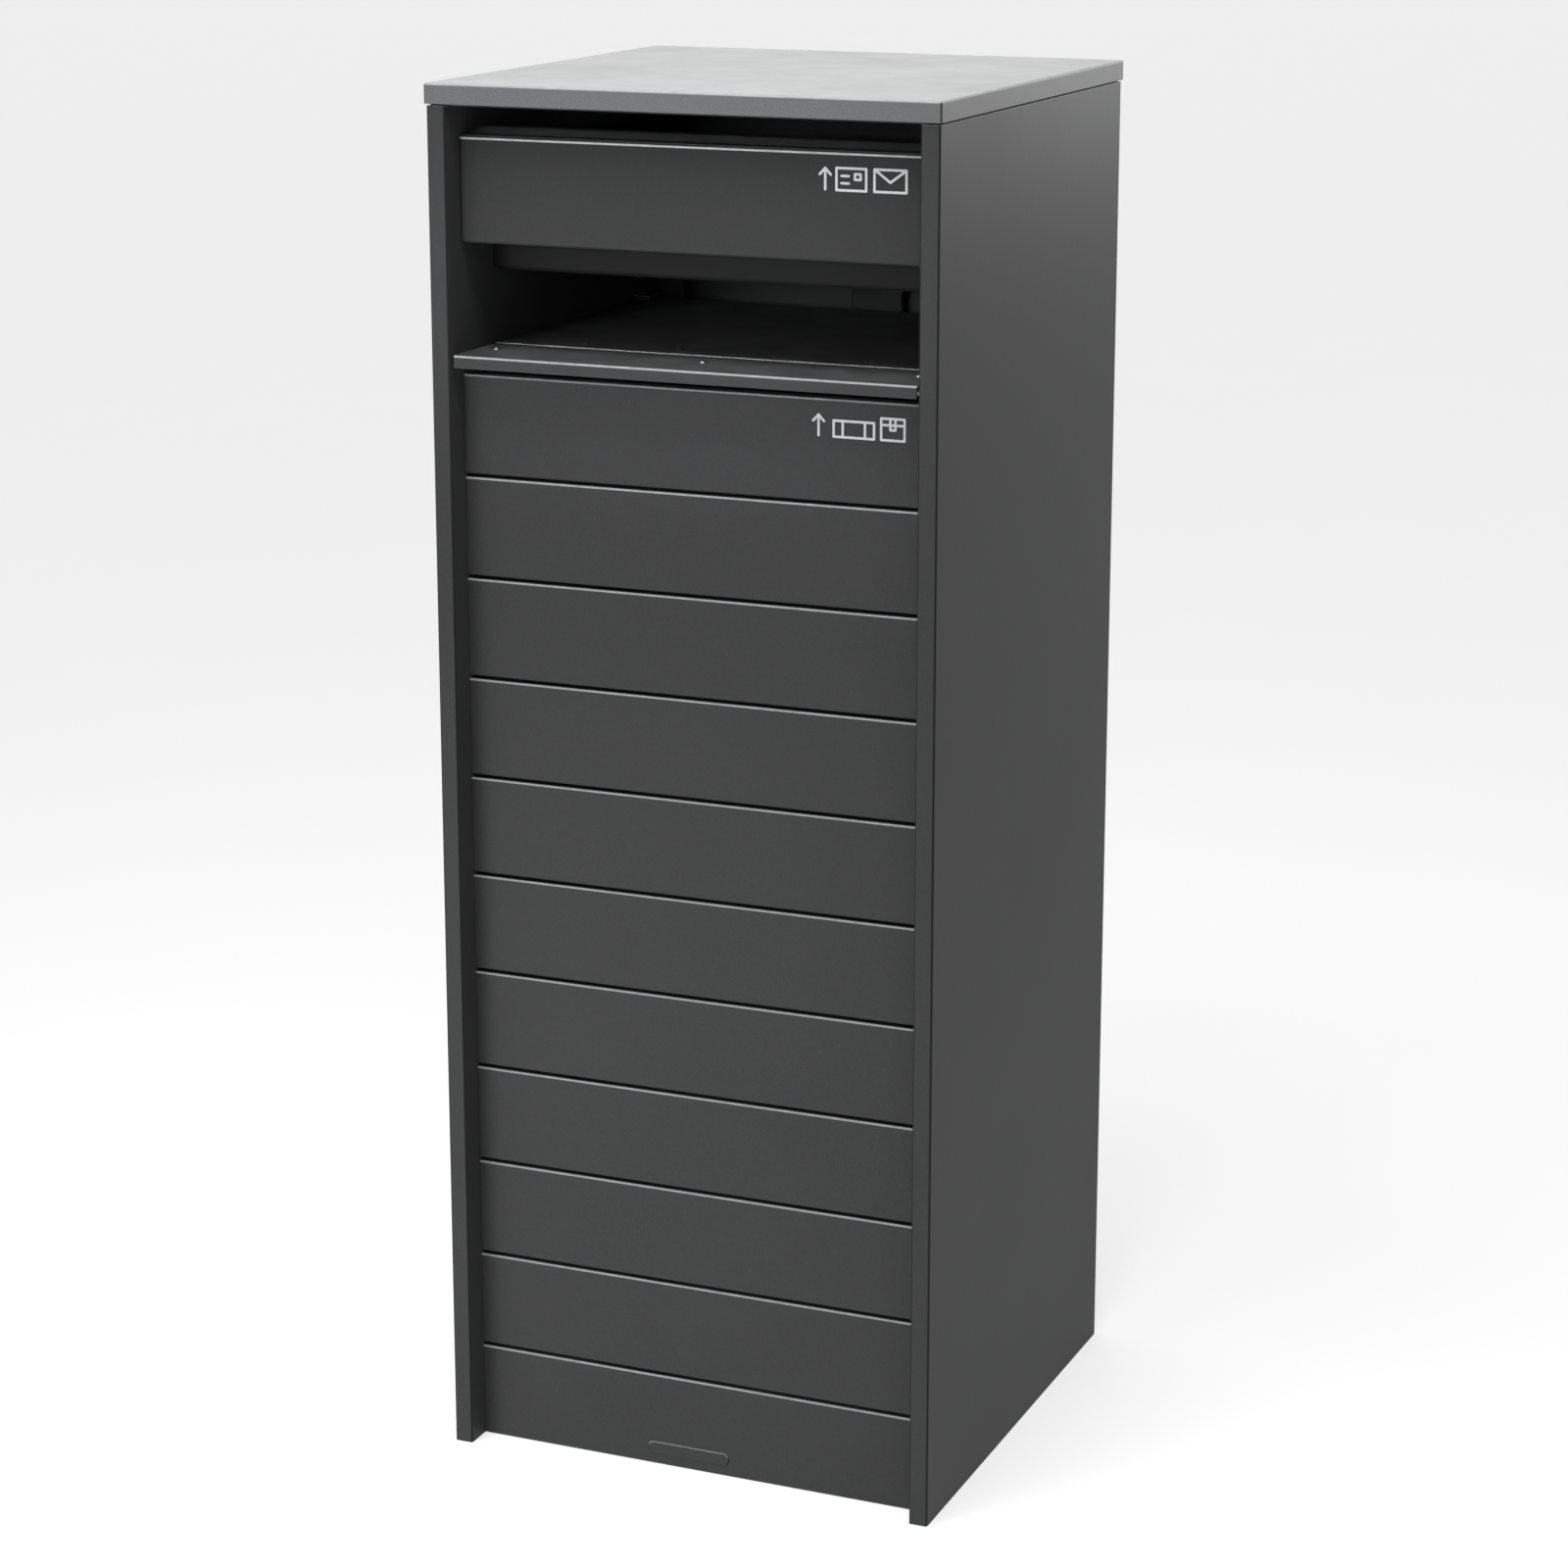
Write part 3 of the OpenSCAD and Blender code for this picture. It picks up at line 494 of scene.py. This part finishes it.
def badge(material):
    """A plain raised bar with a soft edge and nothing on it, on the slats' front."""
    face_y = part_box("slat_01")[0].y
    reach = (BADGE_W - BADGE_H) / 2
    outline = capsule((BADGE_X - reach, BADGE_Z), (BADGE_X + reach, BADGE_Z), BADGE_H / 2)
    mesh = bmesh.new()
    outline_prism(mesh, outline, BADGE_T, face_y)
    bmesh.ops.recalc_face_normals(mesh, faces=mesh.faces)
    rim = [e for e in mesh.edges if all(v.co.y < face_y - BADGE_T / 2 for v in e.verts)]
    bmesh.ops.bevel(mesh, geom=rim, offset=BADGE_T * BADGE_SOFTNESS, segments=BADGE_SEGMENTS, affect="EDGES")
    finish_piece("badge", mesh, material)


def tube(mesh, path, radius):
    """Round wire along a path, with flat ends."""
    turns = [2 * math.pi * n / WIRE_SIDES for n in range(WIRE_SIDES)]
    rings = []
    side = None
    for k, point in enumerate(path):
        ahead = path[min(k + 1, len(path) - 1)] - path[max(k - 1, 0)]
        ahead.normalize()
        side = (side - side.dot(ahead) * ahead) if side else ahead.orthogonal()
        side.normalize()
        up = ahead.cross(side)
        ring = [point + radius * (math.cos(t) * side + math.sin(t) * up) for t in turns]
        rings.append([mesh.verts.new(place) for place in ring])
    for low, high in zip(rings, rings[1:]):
        for n in range(WIRE_SIDES):
            after = (n + 1) % WIRE_SIDES
            mesh.faces.new((low[n], low[after], high[after], high[n]))
    mesh.faces.new(rings[0][::-1])
    mesh.faces.new(rings[-1])


def spring_path(x0, x1, axis_y, axis_z, coil_r, leg_y):
    """Leg under the rail, a close-wound coil from x0 to x1, and a leg under the flap.

    The coil starts at the pin's underside and ends half a turn further, at its top.
    """
    first, last = x0 + SPRING_WIRE_R, x1 - SPRING_WIRE_R
    low_z, high_z = axis_z - coil_r, axis_z + coil_r
    points = []
    for k in range(LEG_STEPS):
        y = leg_y[0] + (axis_y - leg_y[0]) * k / LEG_STEPS
        points.append(Vector((first, y, low_z)))
    steps = SPRING_TURNS * TURN_STEPS + TURN_STEPS // 2
    for k in range(steps + 1):
        angle = -math.pi / 2 + 2 * math.pi * (SPRING_TURNS + 0.5) * k / steps
        x = first + (last - first) * k / steps
        points.append(Vector((x, axis_y + coil_r * math.cos(angle), axis_z + coil_r * math.sin(angle))))
    for k in range(1, LEG_STEPS + 1):
        y = axis_y + (leg_y[1] - axis_y) * k / LEG_STEPS
        points.append(Vector((last, y, high_z)))
    return points


def torsion_springs(material):
    """The flap's two springs, wound round its hinge pin, one leg on the cabinet and one on the flap."""
    low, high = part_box("flap_springs")
    pin_low, pin_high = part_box("flap_hinge_pin")
    axis_y = (pin_low.y + pin_high.y) / 2
    axis_z = (pin_low.z + pin_high.z) / 2
    knuckle = (pin_high.x - pin_low.x) / HINGE_KNUCKLES
    coil_r = (high.z - low.z) / 2 - SPRING_WIRE_R
    half_length = high.x - SPRING_PLACE * knuckle
    for side, name in ((-1, "spring_left"), (1, "spring_right")):
        middle = side * SPRING_PLACE * knuckle
        x0, x1 = middle - half_length, middle + half_length
        mesh = bmesh.new()
        tube(mesh, spring_path(x0, x1, axis_y, axis_z, coil_r, (low.y, high.y)), SPRING_WIRE_R)
        bmesh.ops.recalc_face_normals(mesh, faces=mesh.faces)
        spring = finish_piece(name, mesh, material, body=None, smooth=True)
        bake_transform(spring)
        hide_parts("flap_springs")


# ---- Finishes on the frame ----

# Pieces with their own copy of the coat: the cap paler from wear and lighter as painted light, the letters
# panel, letter chute and letter tray darker as painted shade, and the letters panel and drop flap with
# strong painted highlights on their bends.
VARIANTS = {
    "top_cap": "cap_coat_worn_and_lit",
    "letters_panel": "panel_coat_painted_shade_and_highlight",
    "drop_flap": "coat_strong_painted_highlight",
    "letter_chute": "shaded_coat",
    "letter_tray": "tray_coat_painted_shade",
}


def all_finishes():
    """Every finish of the box by name."""
    return {
        "coat": powder_coat("coat", CHARCOAL),
        # The cap: paler worn paint, made lighter still as painted light.
        "cap_coat_worn_and_lit": powder_coat("cap_coat_worn_and_lit", CHARCOAL_CAP_WORN_AND_LIT, dust=0.16),
        # Drop flap: the coat with a strong painted highlight on its front bend.
        "coat_strong_painted_highlight": powder_coat("coat_strong_painted_highlight", CHARCOAL, highlight_strength=0.95, highlight_colour=HIGHLIGHT_PALE),
        # Letters panel: darker as painted shade, with a strong painted highlight on its top bend.
        "panel_coat_painted_shade_and_highlight": powder_coat("panel_coat_painted_shade_and_highlight", CHARCOAL_PANEL_PAINTED_SHADE, highlight_strength=0.95, highlight_colour=HIGHLIGHT_PALE),
        # Letter tray: darkened as painted shade.
        "tray_coat_painted_shade": powder_coat("tray_coat_painted_shade", CHARCOAL_TRAY_PAINTED_SHADE, highlight_strength=0.2),
        # Letter chute: the darker inside colour used as painted shade.
        "shaded_coat": powder_coat("shaded_coat", CHARCOAL_INSIDE, highlight_strength=0.2),
        "inner_coat": powder_coat("inner_coat", CHARCOAL_INSIDE, roughness=0.5, dust=0.04),
        "zinc": plated("zinc", ZINC, 0.34),
        "black_screw": plated("black_screw", BLACK_OXIDE, 0.42),
        "spring_steel": plated("spring_steel", SPRING_STEEL, 0.3, streak=(1, 6, 6)),
        "lock_chrome": plated("lock_chrome", CHROME, 0.16),
        "rubber": rubber("rubber"),
    }


def coat_frame(frame, finishes):
    """Each node takes the finish of its material slot in the record, or its own variant of it."""
    for entry in frame["record"]["subparts"]:
        mesh = frame["nodes"][entry["node"]].data
        mesh.materials.clear()
        finish = VARIANTS.get(entry["node"], entry["material_slot"])
        mesh.materials.append(finishes[finish])


# ---- Studio and camera ----


def aim(thing, azimuth, elevation):
    """Turns a camera or light to look from azimuth degrees right of the front, elevation degrees up.

    Returns the direction from what it looks at back to itself.
    """
    a, e = math.radians(azimuth), math.radians(elevation)
    back = Vector((math.sin(a) * math.cos(e), -math.cos(a) * math.cos(e), math.sin(e)))
    thing.rotation_mode = "QUATERNION"
    thing.rotation_quaternion = back.to_track_quat("Z", "Y")
    return back


def softbox(name, azimuth, elevation, distance, size, watts, target=(0, 0, 0.6), spread=130):
    """A rectangular light that the camera doesn't see."""
    light = bpy.data.lights.new(name, "AREA")
    light.shape = "RECTANGLE"
    light.size, light.size_y = size
    light.energy = watts
    light.spread = math.radians(spread)
    lamp = bpy.data.objects.new(name, light)
    bpy.context.scene.collection.objects.link(lamp)
    lamp.location = Vector(target) + aim(lamp, azimuth, elevation) * distance
    lamp.visible_camera = False


def sky():
    """Pale sky, brightest at the horizon."""
    world = bpy.data.worlds.new("studio")
    world.use_nodes = True
    background = world.node_tree.nodes["Background"]
    connect(background, "Color", shade(WHITE))
    way = add(background, "TexCoord").outputs["Generated"]
    height = add(background, "SeparateXYZ", {0: way}).outputs["Z"]
    strength = remap(background, height, 0.0, SKY_ZENITH_HEIGHT, SKY_HORIZON, SKY_ZENITH)
    connect(background, "Strength", strength)
    bpy.context.scene.world = world


def floor():
    """A plain square floor at the height of the box's feet."""
    half = FLOOR_SIZE / 2
    mesh = bmesh.new()
    painted_shade_bends = [(-half, -half, 0), (half, -half, 0), (half, half, 0), (-half, half, 0)]
    mesh.faces.new([mesh.verts.new(corner) for corner in painted_shade_bends])
    finish_piece("floor", mesh, studio_floor("studio_floor"), body=None)


def camera():
    """The camera at eye height, to the right of the front."""
    lens = bpy.data.cameras.new("camera")
    lens.sensor_width = CAMERA_SENSOR
    lens.lens = CAMERA_LENS
    lens.shift_y = CAMERA_SHIFT
    view = bpy.data.objects.new("camera", lens)
    bpy.context.scene.collection.objects.link(view)
    view.location = CAMERA_PLACE
    aim(view, CAMERA_AZIMUTH, CAMERA_ELEVATION)
    bpy.context.scene.camera = view


# ---- The drop box ----

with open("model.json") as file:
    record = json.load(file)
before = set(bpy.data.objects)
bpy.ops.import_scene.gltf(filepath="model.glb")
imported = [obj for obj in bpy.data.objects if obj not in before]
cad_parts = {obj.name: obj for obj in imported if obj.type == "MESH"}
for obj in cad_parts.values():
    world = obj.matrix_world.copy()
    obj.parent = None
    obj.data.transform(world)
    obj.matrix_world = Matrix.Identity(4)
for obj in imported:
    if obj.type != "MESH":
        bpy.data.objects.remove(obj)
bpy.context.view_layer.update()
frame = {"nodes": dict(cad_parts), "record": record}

bpy.context.scene.view_settings.view_transform = "Standard"
camera()
sky()
for name, settings in SOFTBOXES.items():
    softbox(name, **settings)
floor()

finishes = all_finishes()
coat_frame(frame, finishes)
torsion_springs(finishes["spring_steel"])
pictograms(screen_print("screen_print"))
badge(finishes["coat"])
